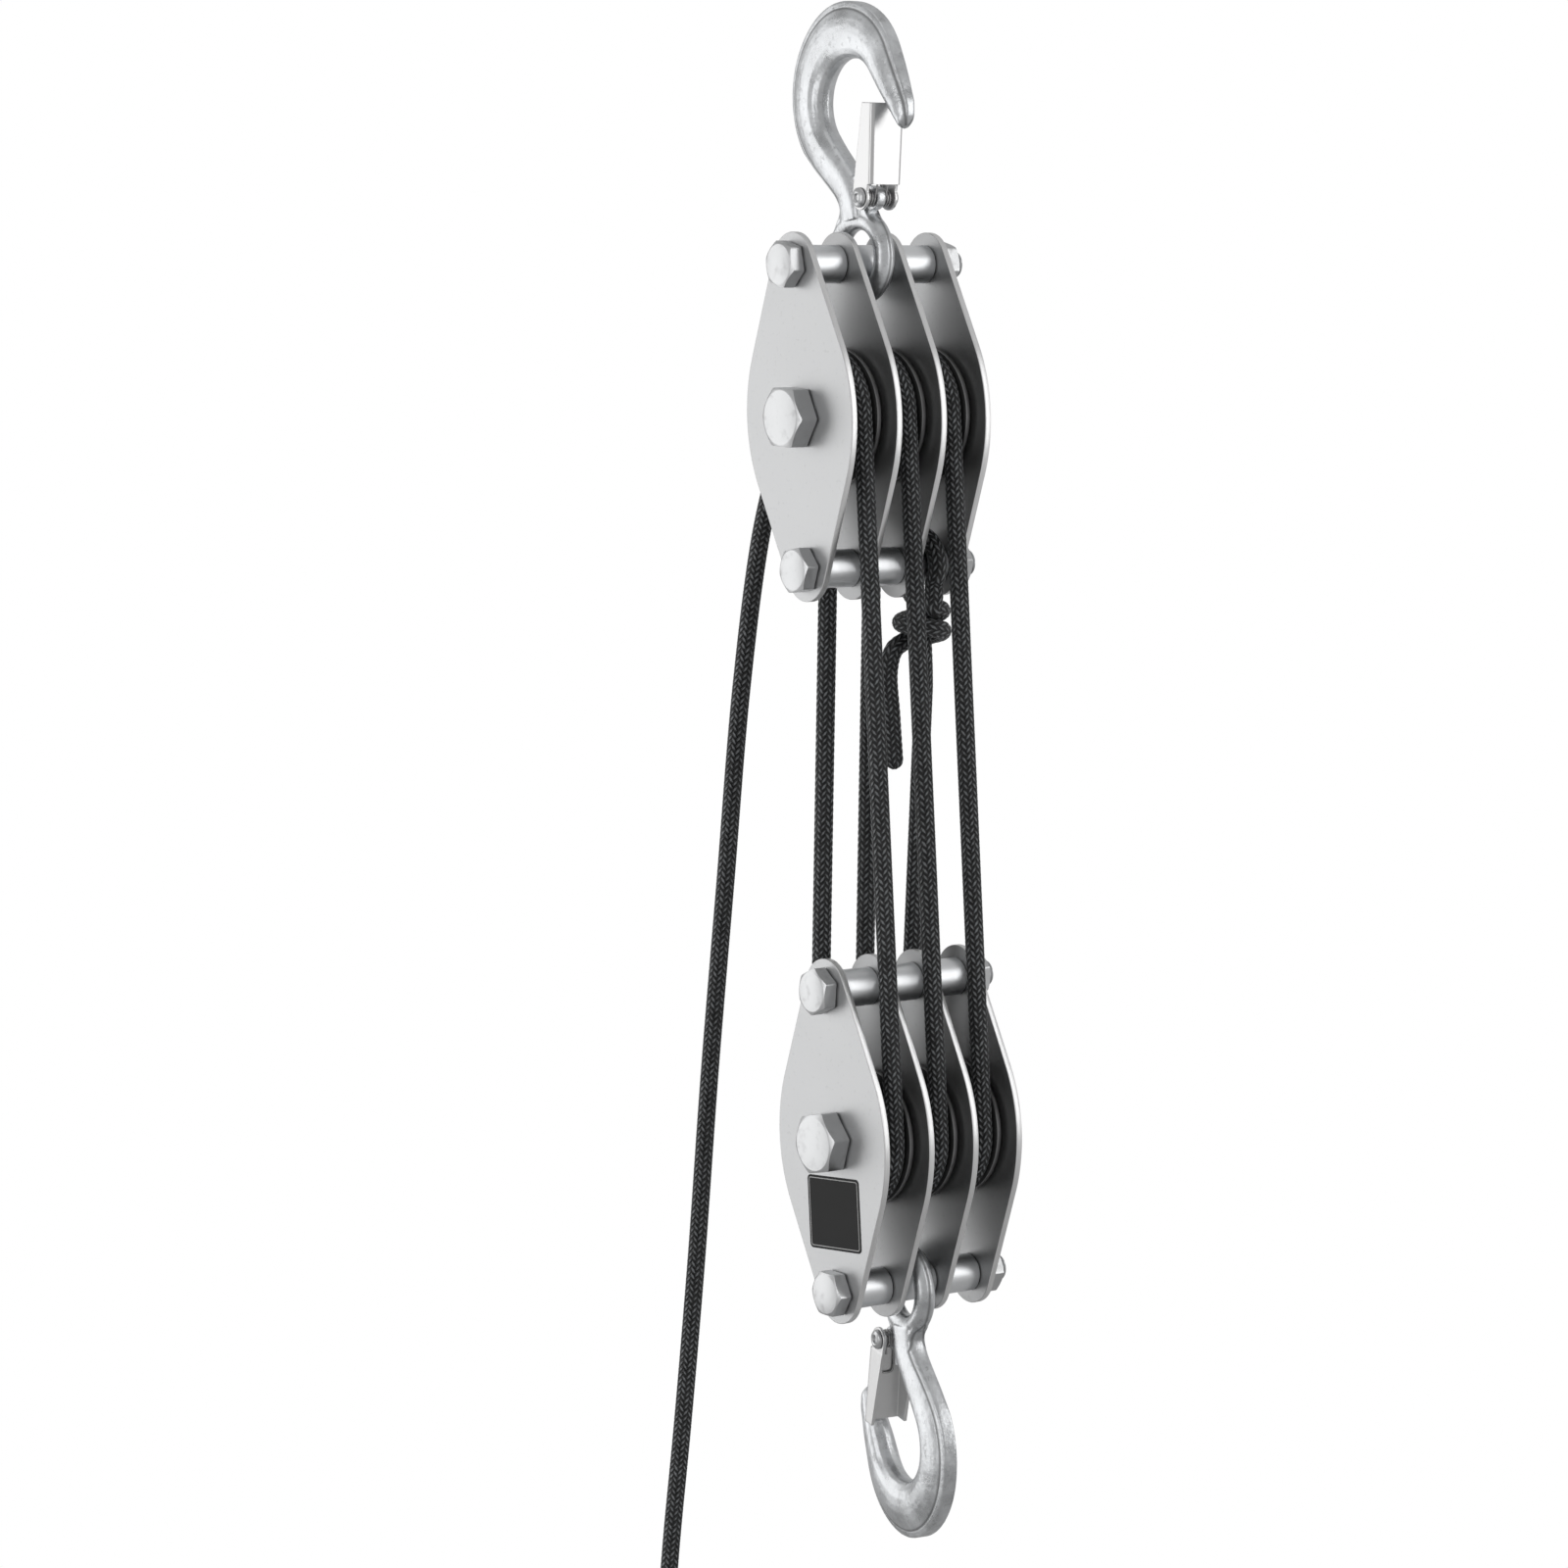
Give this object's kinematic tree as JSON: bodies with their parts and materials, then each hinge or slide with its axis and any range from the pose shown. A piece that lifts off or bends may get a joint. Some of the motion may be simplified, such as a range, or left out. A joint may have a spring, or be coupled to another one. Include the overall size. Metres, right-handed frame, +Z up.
{
  "type": "block and tackle",
  "caption": "Hand hoist of two multi-sheave pulley blocks with latched eye hooks, rove with one braided rope that hauls from the upper block.",
  "frame": {"origin": "seat in the bowl of the upper hook, where the tackle hangs", "axes": "+Z up along the line of pull, +Y along the axles from the bolt heads to the nuts, +X towards the front falls"},
  "size_m": [0.2624, 0.1246, 0.8951],
  "materials": {
    "cheek": "satin zinc-plated sheet steel",
    "zinc": "bright zinc plating",
    "forged": "mottled zinc plating on a forging",
    "sheave": "dark satin steel with rims worn bright",
    "bronze": "plain bronze",
    "spring": "drawn spring wire",
    "rope": "black braided polyester with grey flecks"
  },
  "bodies": {
    "upper_hook": {"upper_hook": "forged", "upper_latch_rivet": "zinc"},
    "upper_latch": {"upper_latch": "zinc", "upper_latch_spring": "spring"},
    "upper_block": {"upper_cheek_1": "cheek", "upper_cheek_2": "cheek", "upper_cheek_3": "cheek", "upper_cheek_4": "cheek", "upper_axle_bolt": "zinc", "upper_axle_nut": "zinc", "upper_hook_bolt": "zinc", "upper_hook_nut": "zinc", "upper_rope_bolt": "zinc", "upper_rope_nut": "zinc", "upper_hook_spacer_1": "zinc", "upper_hook_spacer_2": "zinc", "upper_hook_spacer_3": "zinc", "upper_rope_spacer_1": "zinc", "upper_rope_spacer_2": "zinc", "upper_rope_spacer_3": "zinc", "upper_sleeve_1": "bronze", "upper_sleeve_2": "bronze", "upper_sleeve_3": "bronze", "front_fall_1": "rope", "front_fall_2": "rope", "front_fall_3": "rope", "back_fall_1": "rope", "back_fall_2": "rope", "back_fall_3": "rope", "becket_hitch": "rope", "hauling_line": "rope"},
    "upper_sheave_1": {"upper_sheave_1": "sheave"},
    "upper_sheave_2": {"upper_sheave_2": "sheave"},
    "upper_sheave_3": {"upper_sheave_3": "sheave"},
    "lower_block": {"lower_cheek_1": "cheek", "lower_cheek_2": "cheek", "lower_cheek_3": "cheek", "lower_cheek_4": "cheek", "lower_axle_bolt": "zinc", "lower_axle_nut": "zinc", "lower_hook_bolt": "zinc", "lower_hook_nut": "zinc", "lower_rope_bolt": "zinc", "lower_rope_nut": "zinc", "lower_hook_spacer_1": "zinc", "lower_hook_spacer_2": "zinc", "lower_hook_spacer_3": "zinc", "lower_rope_spacer_1": "zinc", "lower_rope_spacer_2": "zinc", "lower_rope_spacer_3": "zinc", "lower_sleeve_1": "bronze", "lower_sleeve_2": "bronze", "lower_sleeve_3": "bronze"},
    "lower_sheave_1": {"lower_sheave_1": "sheave"},
    "lower_sheave_2": {"lower_sheave_2": "sheave"},
    "lower_sheave_3": {"lower_sheave_3": "sheave"},
    "lower_hook": {"lower_hook": "forged", "lower_latch_rivet": "zinc"},
    "lower_latch": {"lower_latch": "zinc", "lower_latch_spring": "spring"}
  },
  "joints": [
    {"name": "upper_latch_hinge", "type": "hinge", "parent": "upper_hook", "child": "upper_latch", "pos_m": [0.01383, 0, -0.07337], "axis": [0, -1, 0], "range_deg": [0, 45], "stiffness_Nm_per_rad": 0.06, "springref_deg": -51.57, "deforming": ["upper_latch_spring"]},
    {"name": "block_swing", "type": "hinge", "parent": "upper_hook", "child": "upper_block", "pos_m": [0, 0, -0.1068], "axis": [0, 1, 0], "range_deg": [-60, 60]},
    {"name": "upper_sheave_1_spin", "type": "hinge", "parent": "upper_block", "child": "upper_sheave_1", "pos_m": [0, -0.0292, -0.1858], "axis": [0, 1, 0], "continuous": true},
    {"name": "upper_sheave_2_spin", "type": "hinge", "parent": "upper_block", "child": "upper_sheave_2", "pos_m": [0, 0, -0.1858], "axis": [0, 1, 0], "continuous": true},
    {"name": "upper_sheave_3_spin", "type": "hinge", "parent": "upper_block", "child": "upper_sheave_3", "pos_m": [0, 0.0292, -0.1858], "axis": [0, 1, 0], "continuous": true},
    {"name": "hoist_travel", "type": "slide", "parent": "upper_block", "child": "lower_block", "axis": [0, 0, 1], "range_m": [-0.09, 0.09], "deforming": ["front_fall_1", "front_fall_2", "front_fall_3", "back_fall_1", "back_fall_2", "back_fall_3"]},
    {"name": "lower_sheave_1_spin", "type": "hinge", "parent": "lower_block", "child": "lower_sheave_1", "pos_m": [0, -0.0292, -0.5628], "axis": [0, 1, 0], "continuous": true},
    {"name": "lower_sheave_2_spin", "type": "hinge", "parent": "lower_block", "child": "lower_sheave_2", "pos_m": [0, 0, -0.5628], "axis": [0, 1, 0], "continuous": true},
    {"name": "lower_sheave_3_spin", "type": "hinge", "parent": "lower_block", "child": "lower_sheave_3", "pos_m": [0, 0.0292, -0.5628], "axis": [0, 1, 0], "continuous": true},
    {"name": "lower_hook_swing", "type": "hinge", "parent": "lower_block", "child": "lower_hook", "pos_m": [0, 0, -0.6418], "axis": [0, 1, 0], "range_deg": [-60, 60]},
    {"name": "lower_latch_hinge", "type": "hinge", "parent": "lower_hook", "child": "lower_latch", "pos_m": [-0.01654, 0.00292, -0.67366], "axis": [-0.1736, -0.9848, 0], "range_deg": [0, 45], "stiffness_Nm_per_rad": 0.06, "springref_deg": -51.57, "deforming": ["lower_latch_spring"]}
  ],
  "couplings": [
    {"joint": "lower_sheave_3_spin", "follows": "hoist_travel", "rad_per_m": -30.303},
    {"joint": "upper_sheave_3_spin", "follows": "hoist_travel", "rad_per_m": -60.606},
    {"joint": "lower_sheave_2_spin", "follows": "hoist_travel", "rad_per_m": -90.909},
    {"joint": "upper_sheave_2_spin", "follows": "hoist_travel", "rad_per_m": -121.21},
    {"joint": "lower_sheave_1_spin", "follows": "hoist_travel", "rad_per_m": -151.51},
    {"joint": "upper_sheave_1_spin", "follows": "hoist_travel", "rad_per_m": -181.82}
  ]
}
